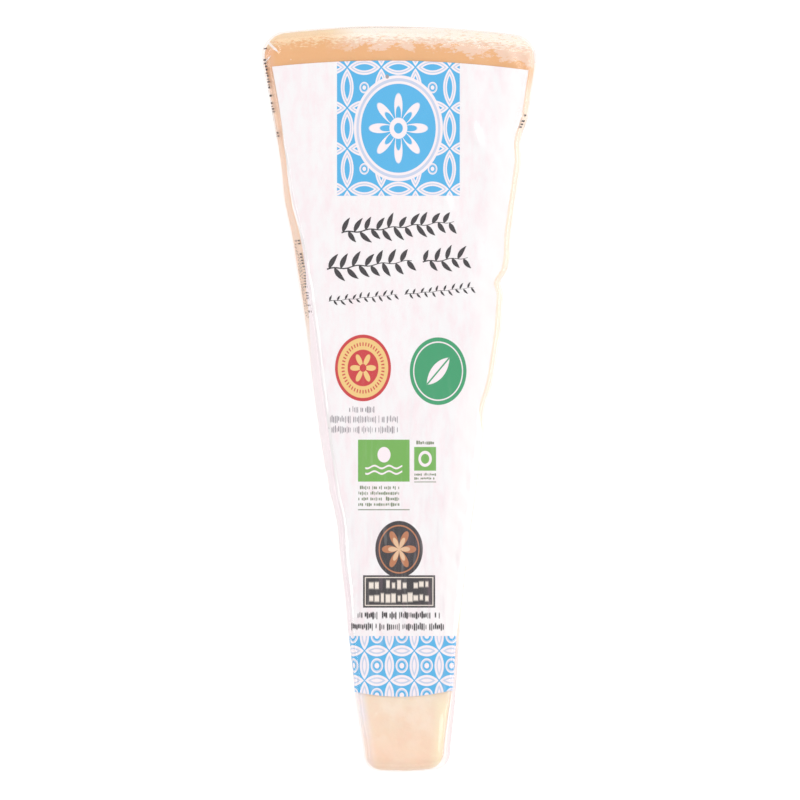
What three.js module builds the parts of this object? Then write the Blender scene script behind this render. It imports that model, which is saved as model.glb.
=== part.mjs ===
// A vacuum packed wedge of hard cheese, lying on its back with the printed face up.
// Millimetres. +Z is up, +Y points to the rind, and the origin is under the middle of the pack.
//
// The pack is one solid, out to the skin of its film. The printed panel is a thin skin that lies
// on the front face and turns over the long edges in the lower half, far down the left side.
//
// "Depth" below is the distance from the rind end, measured along the wedge.

import * as THREE from 'three';
import { LoftGeometry } from 'three/addons/geometries/LoftGeometry.js';
import { mergeVertices } from 'three/addons/utils/BufferGeometryUtils.js';

// Driving dimensions of the wedge
const LENGTH = 163.4;
const THICKNESS = 28;
const FULL_HALF_WIDTH = 30.7; // where the straight sides would meet the rind end
const RIND_PULL = 1; // the film draws the rind's corners in by this much
const RIND_PULL_FADE = 0.02; // and by this much less for each millimetre of depth
const SIDE_TAPER = THREE.MathUtils.degToRad(8.2); // half of the angle that the wheel was cut at
const TIP_TAPER = THREE.MathUtils.degToRad(4.2);
const KNEE_DEPTH = 126; // the sides turn to the gentler taper here
const KNEE_SOFTNESS = 5;
const WHEEL_RADIUS = 215; // the rind end is a stretch of the wheel's rim
const RIND_TILT = 0.015; // and it falls a little to the right
const TIP_RADIUS = 60;
const RIND_CURVE_REACH = 45; // the end curves fade out over these lengths
const TIP_CURVE_REACH = 25;
const TIP_DRIFT = 1.4; // the tip stands this far to the right of the rind's middle
const DRIFT_BEND = 1.5; // above 1, most of that comes near the tip

// Roundings
const RIND_EDGE = 4;
const TIP_EDGE = 2.8;
const BACK_EDGE = 2.5;
const BACK_EDGE_AT_ENDS = 1;
const LEFT_EDGE = 1.7;
const RIGHT_EDGE = 1.3;

// The left side leans out towards the back, most of all in the middle of its length
const LEFT_LEAN = { start: 10, full: 51, hold: 82, end: 126, out: 1.45 };
const RIGHT_LEAN_OUT = 0.2;

// Places where the tight film pinches or plumps the sides: out is positive
const LEFT_WAVES = [
  { depth: 6, reach: 7, out: 0.15 },
  { depth: 38, reach: 9, out: 0.45 },
  { depth: 88, reach: 26, out: 0.55 },
  { depth: 109, reach: 8, out: -0.4 },
  { depth: 134, reach: 10, out: 0.2 },
  { depth: 161, reach: 14, out: -0.8 },
];
const RIGHT_WAVES = [
  { depth: 24, reach: 6, out: -0.8 },
  { depth: 51, reach: 6, out: 0.5 },
  { depth: 56, reach: 3, out: -0.9 },
  { depth: 65, reach: 9, out: 0.5 },
  { depth: 74, reach: 12, out: 0.6 },
  { depth: 84, reach: 6, out: -0.6 },
  { depth: 161, reach: 14, out: -0.4 },
];

// The printed panel
const PANEL_TOP = 7.6; // depth of its edge below the rind
const PANEL_END = 146.9;
const PANEL_END_BOW = 1.1; // the bottom edge hangs this much lower in the middle
const PANEL_GAP = 0.3;
const PANEL_SKIN = 0.3;
const LEFT_WRAP = { first: 1.2, from: 14, by: 38, start: 54, full: 82, over: 24 };
const LEFT_WRAP_CROWD = 1.6; // above 1, its points crowd towards the front edge
const RIGHT_WRAP = { start: 80, full: 98, hold: 118, end: 134, over: 2.6, left: 0.9 };

// Steps of the meshes
const STATION_STEP = 2.2;
const EDGE_STEPS = 4;
const FACE_STEPS = 6;
const SIDE_STEPS = 2;
const END_STEPS = 5;
const PANEL_ROWS = 48;
const PANEL_FLAT_STEPS = 5;
const PANEL_EDGE_STEPS = 9;

const QUARTER_TURN = Math.PI / 2;
const { lerp, smoothstep } = THREE.MathUtils;

// A bump of height 1 at the middle that is gone at the reach on both sides
function bump(distance, reach) {
  return Math.abs(distance) < reach ? 0.5 + 0.5 * Math.cos((Math.PI * distance) / reach) : 0;
}

function sumOfWaves(waves, depth) {
  return waves.reduce((sum, wave) => sum + wave.out * bump(depth - wave.depth, wave.reach), 0);
}

// Half of the wedge's width at a depth: two straight tapers joined by a soft knee
function halfWidth(depth) {
  const pastKnee = KNEE_SOFTNESS * Math.log1p(Math.exp((depth - KNEE_DEPTH) / KNEE_SOFTNESS));
  const gained = (Math.tan(SIDE_TAPER) - Math.tan(TIP_TAPER)) * pastKnee;
  const straight = FULL_HALF_WIDTH - depth * Math.tan(SIDE_TAPER) + gained;
  return Math.min(straight, FULL_HALF_WIDTH - RIND_PULL + RIND_PULL_FADE * depth);
}

// How far the left side leans out at the back, at a depth
function leftLean(depth) {
  const grows = smoothstep(depth, LEFT_LEAN.start, LEFT_LEAN.full);
  const fades = 1 - smoothstep(depth, LEFT_LEAN.hold, LEFT_LEAN.end);
  return LEFT_LEAN.out * grows * fades;
}

// The section's sides at a depth. x is at the back, where the sides stand furthest out.
function sides(depth) {
  const middle = TIP_DRIFT * (depth / LENGTH) ** DRIFT_BEND;
  const half = halfWidth(depth);
  return {
    left: { x: middle - half - sumOfWaves(LEFT_WAVES, depth), lean: leftLean(depth), edge: LEFT_EDGE },
    right: { x: middle + half + sumOfWaves(RIGHT_WAVES, depth), lean: RIGHT_LEAN_OUT, edge: RIGHT_EDGE },
  };
}

// Y of a point: the depth, bent to the rim's curve at the rind and a shallow curve at the tip
function yAt(depth, x) {
  const atRind = 1 - smoothstep(depth, 0, RIND_CURVE_REACH);
  const atTip = smoothstep(depth, LENGTH - TIP_CURVE_REACH, LENGTH);
  const rindSag = atRind * ((x * x) / (2 * WHEEL_RADIUS) + RIND_TILT * x);
  const tipSag = (atTip * x * x) / (2 * TIP_RADIUS);
  return LENGTH / 2 - depth - rindSag + tipSag;
}

// A quarter circle from one direction to the next, as [x, z] points
function quarter(centre, radius, startAngle, steps) {
  return Array.from({ length: steps + 1 }, (_, i) => {
    const angle = startAngle + (QUARTER_TURN * i) / steps;
    return [centre[0] + radius * Math.cos(angle), centre[1] + radius * Math.sin(angle)];
  });
}

// Evenly spaced points strictly between two others
function between(a, b, steps) {
  return Array.from({ length: steps - 1 }, (_, i) => {
    const t = (i + 1) / steps;
    return [lerp(a[0], b[0], t), lerp(a[1], b[1], t)];
  });
}

// One closed ring round the pack, drawn in by an inset where an end is rounded.
// It runs anticlockwise, with X to the right and Z up.
function packRing(depth, inset) {
  const { left, right } = sides(depth);
  const top = THICKNESS - inset;
  const back = inset;
  const rightFront = right.x - right.lean - inset;
  const rightBack = right.x - inset;
  const leftFront = left.x + left.lean + inset;
  const leftBack = left.x + inset;
  const backEdge = Math.max(BACK_EDGE - inset / 2, BACK_EDGE_AT_ENDS);
  const corners = [
    quarter([rightBack - backEdge, back + backEdge], backEdge, -QUARTER_TURN, EDGE_STEPS),
    quarter([rightFront - right.edge, top - right.edge], right.edge, 0, EDGE_STEPS),
    quarter([leftFront + left.edge, top - left.edge], left.edge, QUARTER_TURN, EDGE_STEPS),
    quarter([leftBack + backEdge, back + backEdge], backEdge, 2 * QUARTER_TURN, EDGE_STEPS),
  ];
  const steps = [SIDE_STEPS, FACE_STEPS, SIDE_STEPS, FACE_STEPS];
  return corners.flatMap((corner, i) => {
    const next = corners[(i + 1) % corners.length];
    return [...corner, ...between(corner.at(-1), next[0], steps[i])];
  });
}

// Depth and inset of every ring, from the rind end to the tip
function packStations() {
  const rindEnd = Array.from({ length: END_STEPS + 1 }, (_, i) => {
    const angle = (QUARTER_TURN * i) / END_STEPS;
    return { depth: RIND_EDGE * (1 - Math.sin(angle)), inset: RIND_EDGE * (1 - Math.cos(angle)) };
  }).reverse();
  const tipEnd = rindEnd.map((station) => ({
    depth: LENGTH - (station.depth * TIP_EDGE) / RIND_EDGE,
    inset: (station.inset * TIP_EDGE) / RIND_EDGE,
  })).reverse();
  const first = RIND_EDGE;
  const last = LENGTH - TIP_EDGE;
  const count = Math.round((last - first) / STATION_STEP);
  const body = Array.from({ length: count - 1 }, (_, i) => (
    { depth: lerp(first, last, (i + 1) / count), inset: 0 }
  ));
  return [...rindEnd, ...body, ...tipEnd];
}

// A closed mesh through rings of [x, depth, z] points, with its shared corners merged
function loft(rings) {
  const sections = rings.map((ring) => ring.map(([x, depth, z]) => new THREE.Vector3(x, yAt(depth, x), z)));
  const skin = new LoftGeometry(sections, { capStart: true, capEnd: true });
  const bare = new THREE.BufferGeometry();
  bare.setAttribute('position', skin.getAttribute('position'));
  bare.setIndex(skin.getIndex());
  const merged = mergeVertices(bare);
  merged.computeVertexNormals();
  return merged;
}

function packGeometry() {
  const rings = packStations().map(({ depth, inset }) => (
    packRing(depth, inset).map(([x, z]) => [x, depth, z])
  ));
  return loft(rings);
}

// How far the panel reaches past the long edges, measured over the film
function leftWrap(depth) {
  const first = LEFT_WRAP.first * smoothstep(depth, LEFT_WRAP.from, LEFT_WRAP.by);
  return first + LEFT_WRAP.over * smoothstep(depth, LEFT_WRAP.start, LEFT_WRAP.full);
}

function rightWrap(depth) {
  const grown = RIGHT_WRAP.over * smoothstep(depth, RIGHT_WRAP.start, RIGHT_WRAP.full);
  return lerp(grown, RIGHT_WRAP.left, smoothstep(depth, RIGHT_WRAP.hold, RIGHT_WRAP.end));
}

// A point on or above the film, a distance past the front face's edge and on round it.
// side is 1 on the right and -1 on the left.
function overEdge(side, { x, lean, edge }, past, offset) {
  const centre = [x - side * (lean + edge), THICKNESS - edge];
  const angle = Math.min(past / edge, QUARTER_TURN);
  const down = Math.max(past - edge * QUARTER_TURN, 0);
  const leanOut = (lean * down) / (THICKNESS - edge - BACK_EDGE);
  return [
    centre[0] + side * ((edge + offset) * Math.sin(angle) + leanOut),
    centre[1] + (edge + offset) * Math.cos(angle) - down,
  ];
}

// The panel's [x, z] points at a depth, from its left edge to its right one
function panelLine(depth, offset) {
  const { left, right } = sides(depth);
  const flatStart = left.x + left.lean + left.edge;
  const flatEnd = right.x - right.lean - right.edge;
  const leftPoints = Array.from({ length: PANEL_EDGE_STEPS }, (_, i) => (
    overEdge(-1, left, leftWrap(depth) * (1 - i / PANEL_EDGE_STEPS) ** LEFT_WRAP_CROWD, offset)
  ));
  const rightPoints = Array.from({ length: PANEL_EDGE_STEPS }, (_, i) => (
    overEdge(1, right, (rightWrap(depth) * (i + 1)) / PANEL_EDGE_STEPS, offset)
  ));
  const start = [flatStart, THICKNESS + offset];
  const end = [flatEnd, THICKNESS + offset];
  return [...leftPoints, start, ...between(start, end, PANEL_FLAT_STEPS), end, ...rightPoints];
}

// The panel's top edge follows the rind, and its bottom edge hangs in a shallow bow
function panelDepth(share, x) {
  const acrossTip = x / halfWidth(PANEL_END);
  const end = PANEL_END - PANEL_END_BOW * Math.min(acrossTip * acrossTip, 1);
  return lerp(PANEL_TOP, end, share);
}

function panelGeometry() {
  const rings = Array.from({ length: PANEL_ROWS + 1 }, (_, row) => {
    const share = row / PANEL_ROWS;
    const depth = lerp(PANEL_TOP, PANEL_END - PANEL_END_BOW, share); // where the long edges are
    const under = panelLine(depth, PANEL_GAP);
    const over = panelLine(depth, PANEL_GAP + PANEL_SKIN).reverse();
    return [...under, ...over].map(([x, z]) => [x, panelDepth(share, x), z]);
  });
  return loft(rings);
}

function named(name, geometry, color, roughness) {
  const mesh = new THREE.Mesh(geometry, new THREE.MeshStandardMaterial({ color, roughness, metalness: 0 }));
  mesh.name = name;
  return mesh;
}

const group = new THREE.Group();
group.add(named('wedge_pack', packGeometry(), 0xf2d0a6, 0.25));
group.add(named('printed_panel', panelGeometry(), 0xfbf3f6, 0.35));

export default group;
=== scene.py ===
# %% [markdown]
# # A wedge of hard cheese in shrink film
# This lesson dresses a vacuum packed wedge of hard, grainy cheese. The real thing has three
# layers that the eye tells apart: the cheese itself, a clear film drawn tight over it, and the
# ink that is printed on the film. Each becomes a mesh of its own here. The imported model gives
# the place and size of the whole, and nothing below leaves its box.

# %% Load the model
import math

import bpy
import numpy as np
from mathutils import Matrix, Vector, noise


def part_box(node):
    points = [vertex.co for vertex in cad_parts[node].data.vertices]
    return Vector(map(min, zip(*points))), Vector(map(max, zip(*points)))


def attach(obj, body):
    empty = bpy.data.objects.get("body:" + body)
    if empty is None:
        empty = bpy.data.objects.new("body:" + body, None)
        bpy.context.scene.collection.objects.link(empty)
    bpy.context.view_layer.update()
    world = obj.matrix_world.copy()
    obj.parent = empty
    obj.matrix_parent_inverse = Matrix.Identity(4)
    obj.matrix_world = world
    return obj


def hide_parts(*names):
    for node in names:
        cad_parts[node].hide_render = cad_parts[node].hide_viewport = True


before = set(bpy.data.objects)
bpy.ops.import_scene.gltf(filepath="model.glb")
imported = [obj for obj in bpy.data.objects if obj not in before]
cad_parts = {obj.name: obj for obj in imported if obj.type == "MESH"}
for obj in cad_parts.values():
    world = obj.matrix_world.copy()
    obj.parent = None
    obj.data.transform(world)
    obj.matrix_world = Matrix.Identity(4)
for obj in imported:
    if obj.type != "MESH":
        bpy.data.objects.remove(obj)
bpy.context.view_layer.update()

pack_low, pack_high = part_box("wedge_pack")
MM = 0.001
print("pack in millimetres:", [round((h - l) / MM, 1) for l, h in zip(pack_low, pack_high)])

# %% [markdown]
# ## The photograph's view
# The pack was photographed straight from the front with a long lens. It lies on its back here,
# so the camera looks down. A lens this long keeps the long edges of the wedge almost parallel
# to the line of sight, and so only a thin strip of each side can be seen.

# %% Camera
MM_PER_PIXEL = 0.219
FRAME_PIXELS = 800
CAMERA_ABOVE = 5.0
SENSOR_MM = 36
FRAME_WIDTH = FRAME_PIXELS * MM_PER_PIXEL * MM
PHOTO_MIDDLE_Y = -1 * MM_PER_PIXEL * MM

camera_data = bpy.data.cameras.new("camera")
camera_data.sensor_width = SENSOR_MM
camera_data.lens = SENSOR_MM * CAMERA_ABOVE / FRAME_WIDTH
camera = bpy.data.objects.new("camera", camera_data)
camera.location = (0, PHOTO_MIDDLE_Y, pack_high[2] + CAMERA_ABOVE)
bpy.context.scene.collection.objects.link(camera)
bpy.context.scene.camera = camera
print("lens", round(camera_data.lens), "mm, frame", round(FRAME_WIDTH / MM, 1), "mm wide")

# %% [markdown]
# ## The form of the wedge
# A wheel of this cheese is cut into thin sectors, so the two long sides are straight cuts that
# close at about 16 degrees, the wide end is a stretch of the wheel's rim, and the tip has been
# trimmed square. The film adds its own form: it draws the corners in, pinches the sides in a
# few places and lets them plump out in others. The functions below give one section of the
# wedge at any depth, where depth is the distance from the rind in millimetres. Every layer is
# built from them, so that the layers fit.

# %% Driving dimensions, in millimetres
LENGTH = (pack_high[1] - pack_low[1]) / MM
THICKNESS = (pack_high[2] - pack_low[2]) / MM
FULL_HALF_WIDTH = 30.7
RIND_PULL = 1
RIND_PULL_FADE = 0.02
SIDE_TAPER = math.radians(8.2)
TIP_TAPER = math.radians(4.2)
KNEE_DEPTH = 126
KNEE_SOFTNESS = 5
WHEEL_RADIUS = 215
RIND_TILT = 0.015
TIP_RADIUS = 60
RIND_CURVE_REACH = 45
TIP_CURVE_REACH = 25
TIP_DRIFT = 1.4
DRIFT_BEND = 1.5
RIND_EDGE = 4
TIP_EDGE = 2.8
BACK_EDGE = 2.5
LEFT_EDGE = 1.7
RIGHT_EDGE = 1.3
LEFT_LEAN = dict(start=10, full=51, hold=82, end=126, out=1.45)
RIGHT_LEAN_OUT = 0.2
# Depth, reach and outward size of each place where the film pinches or plumps a side
LEFT_WAVES = [
    (6, 7, 0.15), (38, 9, 0.45), (88, 26, 0.55), (109, 8, -0.4), (134, 10, 0.2), (161, 14, -0.8),
]
RIGHT_WAVES = [
    (24, 6, -0.8), (51, 6, 0.5), (56, 3, -0.9), (65, 9, 0.5), (74, 12, 0.6), (84, 6, -0.6), (161, 14, -0.4),
]


def smoothstep(value, start, end):
    t = np.clip((value - start) / (end - start), 0, 1)
    return t * t * (3 - 2 * t)


def wave_sum(waves, depth):
    total = 0
    for middle, reach, out in waves:
        near = np.clip(np.abs(depth - middle) / reach, 0, 1)
        total = total + out * (0.5 + 0.5 * np.cos(np.pi * near))
    return total


def half_width(depth):
    past_knee = KNEE_SOFTNESS * np.log1p(np.exp((depth - KNEE_DEPTH) / KNEE_SOFTNESS))
    gained = (math.tan(SIDE_TAPER) - math.tan(TIP_TAPER)) * past_knee
    straight = FULL_HALF_WIDTH - depth * math.tan(SIDE_TAPER) + gained
    return np.minimum(straight, FULL_HALF_WIDTH - RIND_PULL + RIND_PULL_FADE * depth)


def left_side(depth):
    """x of the left side at the back, and how far it leans in at the front."""
    middle = TIP_DRIFT * (np.clip(depth, 0, LENGTH) / LENGTH) ** DRIFT_BEND
    grows = smoothstep(depth, LEFT_LEAN["start"], LEFT_LEAN["full"])
    fades = 1 - smoothstep(depth, LEFT_LEAN["hold"], LEFT_LEAN["end"])
    return middle - half_width(depth) - wave_sum(LEFT_WAVES, depth), LEFT_LEAN["out"] * grows * fades


def right_side(depth):
    middle = TIP_DRIFT * (np.clip(depth, 0, LENGTH) / LENGTH) ** DRIFT_BEND
    return middle + half_width(depth) + wave_sum(RIGHT_WAVES, depth), RIGHT_LEAN_OUT


def y_at(depth, x):
    at_rind = 1 - smoothstep(depth, 0, RIND_CURVE_REACH)
    at_tip = smoothstep(depth, LENGTH - TIP_CURVE_REACH, LENGTH)
    rind_sag = at_rind * (x * x / (2 * WHEEL_RADIUS) + RIND_TILT * x)
    return LENGTH / 2 - depth - rind_sag + at_tip * x * x / (2 * TIP_RADIUS)


for depth in (0, 60, 120, LENGTH):
    print("depth", round(depth), "half width", round(float(half_width(depth)), 1))

# %% [markdown]
# ## Rings
# A ring is a rounded rectangle round the wedge at one depth. The same count of points in each
# ring lets neighbours join with quads. Past the rounded edge of an end the rings go on shrinking
# over the flat of the end, so the ends have as fine a mesh as the sides and can take relief.

# %% One ring
QUARTER = math.pi / 2
LEAST_EDGE = 0.25
EDGE_SHARE_OF_ROOM = 0.95
CROWD = 0.7
# How much of the flat of each end is left to its last ring
RIND_MIDDLE, TIP_MIDDLE = 0.6, 1.6


def arc(centre_x, centre_z, radius, start, steps):
    angles = start + QUARTER * np.arange(steps + 1) / steps
    return np.column_stack([centre_x + radius * np.cos(angles), centre_z + radius * np.sin(angles)])


def crowded(steps, crowd):
    """Shares from 0 to 1 that crowd towards both ends as crowd goes from 0 to 1."""
    t = np.arange(steps + 1) / steps
    return t - crowd * np.sin(2 * np.pi * t) / (2 * np.pi)


def straight_run(start, end, steps, crowd):
    return start + (end - start) * crowded(steps, crowd)[1:-1, None]


def ring(depth, inset, tuck, steps):
    """[x, z] points round the wedge, an inset in from its sides, with tuck as (left, right, z)."""
    edge_steps, side_steps, front_steps = steps
    left_x, left_lean = left_side(depth)
    right_x, right_lean = right_side(depth)
    left_x += inset + tuck[0]
    right_x -= inset + tuck[1]
    low = inset + tuck[2]
    high = THICKNESS - low
    room = min(high - low, right_x - right_lean - left_x - left_lean) / 2 * EDGE_SHARE_OF_ROOM
    back_edge, left_edge, right_edge = (
        max(min(edge, room), min(LEAST_EDGE, room)) for edge in (BACK_EDGE, LEFT_EDGE, RIGHT_EDGE)
    )
    right_front, left_front = right_x - right_lean, left_x + left_lean
    corners = [
        arc(right_x - back_edge, low + back_edge, back_edge, -QUARTER, edge_steps),
        arc(right_front - right_edge, high - right_edge, right_edge, 0, edge_steps),
        arc(left_front + left_edge, high - left_edge, left_edge, QUARTER, edge_steps),
        arc(left_x + back_edge, low + back_edge, back_edge, 2 * QUARTER, edge_steps),
    ]
    runs = [side_steps, front_steps, side_steps, front_steps]
    points = []
    for i, (corner, run) in enumerate(zip(corners, runs)):
        points += [corner, straight_run(corner[-1], corners[(i + 1) % 4][0], run, CROWD if i % 2 else 0)]
    return np.vstack(points)

# %% Rings over the whole wedge
def end_rings(edge, room, spacing, round_steps):
    """(depth in, inset) of the rings over one end, from its middle out to the straight part."""
    over_flat = [(0.0, inset) for inset in np.arange(room, edge + spacing / 2, -spacing)]
    angles = QUARTER * (1 - np.arange(round_steps + 1) / round_steps)
    over_edge = [(edge * (1 - math.sin(a)), edge * (1 - math.cos(a))) for a in angles]
    return over_flat + over_edge


def wedge_points(tuck_at, spacing, steps, round_steps):
    """Rings of [x, y, z, depth] over the whole wedge, in millimetres."""
    at_rind = end_rings(RIND_EDGE, THICKNESS / 2 - RIND_MIDDLE, spacing * 2, round_steps)
    tip_room = float(half_width(LENGTH)) - TIP_MIDDLE
    at_tip = [(LENGTH - d, inset) for d, inset in end_rings(TIP_EDGE, tip_room, spacing * 2, round_steps)]
    count = round((LENGTH - RIND_EDGE - TIP_EDGE) / spacing)
    body = [(d, 0.0) for d in np.linspace(RIND_EDGE, LENGTH - TIP_EDGE, count + 1)[1:-1]]
    rings = []
    for depth, inset in at_rind + body + at_tip[::-1]:
        tuck = tuck_at(depth)
        flat = ring(depth, inset, tuck, steps)
        end_tuck = tuck[2] * (1 - 2 * smoothstep(depth, 0, LENGTH))
        y = y_at(depth, flat[:, 0]) - end_tuck
        rings.append(np.column_stack([flat[:, 0], y, flat[:, 1], np.full(len(flat), depth)]))
    return rings


# %% [markdown]
# ## From rings to a mesh
# The mesh is shaded smooth. It keeps each point's depth as an attribute, which the finishes read
# to know how near the rind they are.

# %% Mesh helpers
def link(name, mesh):
    piece = bpy.data.objects.new(name, mesh)
    bpy.context.scene.collection.objects.link(piece)
    return piece


def grid_faces(count, across, closed, first=0):
    """The quads between rows of points that are numbered on from the first."""
    faces = []
    for start in range(first, first + (count - 1) * across, across):
        for i in range(across if closed else across - 1):
            a, b = start + i, start + (i + 1) % across
            faces.append((a, b, b + across, a + across))
    return faces


def keep_at_points(mesh, **values):
    """Keeps a value at each point of a mesh under its name, for the finishes to read."""
    for name, at_points in values.items():
        mesh.attributes.new(name, "FLOAT", "POINT").data.foreach_set("value", at_points)


def mesh_of_rows(name, rows, closed):
    """A mesh through rows of [x, y, z, depth]. Closed rows are rings with both ends shut."""
    points = np.vstack(rows)
    across, count = len(rows[0]), len(rows)
    faces = grid_faces(count, across, closed)
    if closed:
        faces.append(tuple(range(across - 1, -1, -1)))
        faces.append(tuple((count - 1) * across + i for i in range(across)))
    mesh = bpy.data.meshes.new(name)
    mesh.from_pydata((points[:, :3] * MM).tolist(), [], faces)
    mesh.polygons.foreach_set("use_smooth", [True] * len(mesh.polygons))
    keep_at_points(mesh, depth=points[:, 3])
    mesh.update()
    return mesh

# %% Relief
def raise_along_normals(mesh, height_at):
    """Moves each vertex along its normal by height_at(point, normal), in millimetres."""
    spots = np.empty(len(mesh.vertices) * 3)
    mesh.vertices.foreach_get("co", spots)
    normals = np.empty(len(mesh.vertices) * 3)
    mesh.vertex_normals.foreach_get("vector", normals)
    spots, normals = spots.reshape(-1, 3), normals.reshape(-1, 3)
    heights = np.array([height_at(Vector(p / MM), n) for p, n in zip(spots, normals)])
    mesh.vertices.foreach_set("co", (spots + normals * heights[:, None] * MM).ravel())
    mesh.update()
    return heights


# %% [markdown]
# ## The cheese
# Under the film is one block of hard cheese. Its cut faces are flat but slightly pitted, for this
# cheese breaks into grains rather than slicing clean. It stays a little inside the film, and on
# the right of the tip the film stands clear of it, which leaves a pale sliver of empty film.

# %% Cheese
CHEESE_TUCK = 0.3
CHEESE_RISES = 0.07
TIP_GAP = dict(start=136, full=158, gap=1.1)
GRAIN_MM = 2.2
GRAIN_HEIGHT = 0.1
RIND_GRAIN = 2.2
LUMP_MM = 16
LUMP_HEIGHT = 0.18
# Spacing of the rings, steps round an edge, up a side and over the front, and rings over an end's edge
CHEESE_MESH = (1.0, (5, 18, 36), 6)


def cheese_tuck(depth):
    gap = TIP_GAP["gap"] * float(smoothstep(depth, TIP_GAP["start"], TIP_GAP["full"]))
    return CHEESE_TUCK, CHEESE_TUCK + gap, CHEESE_TUCK


def cheese_relief(point, _):
    lumps = LUMP_HEIGHT * noise.noise(point / LUMP_MM)
    by_rind = float(smoothstep(LENGTH / 2 - point.y, 6, 2))
    grains = GRAIN_HEIGHT * (1 + (RIND_GRAIN - 1) * by_rind) * noise.noise(point / GRAIN_MM)
    return min(lumps + grains, CHEESE_RISES)


cheese_mesh = mesh_of_rows("cheese", wedge_points(cheese_tuck, *CHEESE_MESH), closed=True)
relief = raise_along_normals(cheese_mesh, cheese_relief)
spots = np.array([(v.co.x / MM, v.co.y / MM) for v in cheese_mesh.vertices])
from_left = spots[:, 0] - left_side(LENGTH / 2 - spots[:, 1])[0]
from_right = right_side(LENGTH / 2 - spots[:, 1])[0] - spots[:, 0]
keep_at_points(cheese_mesh, from_left=from_left, from_right=from_right)
cheese = link("cheese", cheese_mesh)
print("cheese faces", len(cheese_mesh.polygons), "relief", relief.min().round(2), relief.max().round(2))

# %% [markdown]
# ## The film's wrinkles
# Shrink film is drawn tight by heat, so it isn't smooth: broad shallow swells where it bridges
# the cheese's pits, fine lengthwise puckers where the wedge is narrow and there was film to
# spare, short creases that run in from the long edges, and a few sharp folds at the corners.
# One function of place gives them all. The film and the print both follow it, so that the ink
# bends with the film.

# %% Wrinkles
SWELL_MM = 13
SWELL_HEIGHT = 0.1
PUCKER_ACROSS_MM = 2.4
PUCKER_ALONG_MM = 18
PUCKER_HEIGHT = 0.055
PUCKER_LEAST = 0.25
PUCKERS_FROM, PUCKERS_FULL = 55, 110
LOOSE = dict(start=7, full=20, ends=62, gone=90, across=5.5, along=13, height=0.12)
LEAST_RELIEF = -0.12
EDGE_CREASE_MM = 3.2
EDGE_CREASE_REACH = 5
EDGE_CREASE_HEIGHT = 0.1
EDGE_CREASE_SLANT = 0.35
EDGE_CREASE_LENGTH = 9
# How far up a normal has to point for a fold to show, and how far down for the film to lie flat
FOLDS_ABOVE = -0.3
FLAT_FROM, FLAT_FULL = 0.6, 0.95
# Start and end of each sharp fold on the front, its half width and its height
FOLDS = [
    ((-29.0, 78.2), (-26.7, 76.0), 0.3, 0.4),
    ((-29.4, 75.6), (-27.6, 77.4), 0.35, 0.15),
    ((-30.0, 79.5), (-29.2, 70.0), 0.4, 0.35),
    ((29.2, 76.5), (27.2, 66.0), 0.45, 0.3),
    ((27.4, 64.5), (25.6, 60.8), 0.5, 0.35),
    ((-24.0, 34.0), (-19.8, 25.0), 0.5, 0.2),
    ((10.2, -65.5), (9.0, -79.5), 0.9, 0.32),
    ((-3.0, 48.0), (-2.0, 40.5), 0.7, 0.1),
    ((15.6, 60.5), (17.4, 55.5), 0.9, 0.18),
    ((9.5, 45.5), (10.8, 41.5), 0.6, 0.14),
]


def fold_height(point):
    total = 0
    for start, end, half, height in FOLDS:
        a, b = Vector(start), Vector(end)
        along = b - a
        t = min(max((point.xy - a).dot(along) / along.length_squared, 0), 1)
        away = (point.xy - a - along * t).length
        total += height * math.exp(-((away / half) ** 2)) * math.sin(math.pi * (0.1 + 0.8 * t))
    return total


def film_relief(point, normal):
    depth = LENGTH / 2 - point.y
    swell = SWELL_HEIGHT * noise.noise(point / SWELL_MM + Vector((3.1, 0, 0)))
    narrow = float(smoothstep(depth, PUCKERS_FROM, PUCKERS_FULL))
    pucker_at = Vector((point.x / PUCKER_ACROSS_MM, point.y / PUCKER_ALONG_MM, point.z / PUCKER_ACROSS_MM))
    pucker = PUCKER_HEIGHT * (PUCKER_LEAST + (1 - PUCKER_LEAST) * narrow) * noise.noise(pucker_at)
    side = 1 if point.x > 0 else -1
    edge_x = right_side(depth)[0] if side > 0 else -left_side(depth)[0]
    from_edge = max(float(edge_x) - side * point.x, 0)
    slant = point.y / EDGE_CREASE_MM + EDGE_CREASE_SLANT * side * point.x
    slanted = Vector((slant, point.x / EDGE_CREASE_LENGTH, point.z / EDGE_CREASE_LENGTH))
    crease = EDGE_CREASE_HEIGHT * noise.noise(slanted) * math.exp(-((from_edge / EDGE_CREASE_REACH) ** 2))
    share = smoothstep(point.x, LOOSE["start"], LOOSE["full"])
    share *= 1 - smoothstep(depth, LOOSE["ends"], LOOSE["gone"])
    loose_at = Vector((point.x / LOOSE["across"], point.y / LOOSE["along"], point.z / LOOSE["across"] + 7))
    loose = LOOSE["height"] * float(share) * (0.5 + noise.noise(loose_at))
    sharp = fold_height(point) if normal[2] > FOLDS_ABOVE else 0
    lies_flat = float(smoothstep(-normal[2], FLAT_FROM, FLAT_FULL))
    return max(swell + pucker + crease + loose + sharp, LEAST_RELIEF) * (1 - lies_flat)


# %% [markdown]
# ## The film
# The film is one thin skin. Only its shine and a faint warm tint show.

# %% Film
FILM_MESH = (0.6, (10, 22, 90), 8)
# Depths between which the film comes clear of the cheese, beside the tip
CLEAR_FROM, CLEAR_FULL = 130, 140
CLEAR_REACH = 0.2


def no_tuck(_):
    return 0.0, 0.0, 0.0


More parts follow.
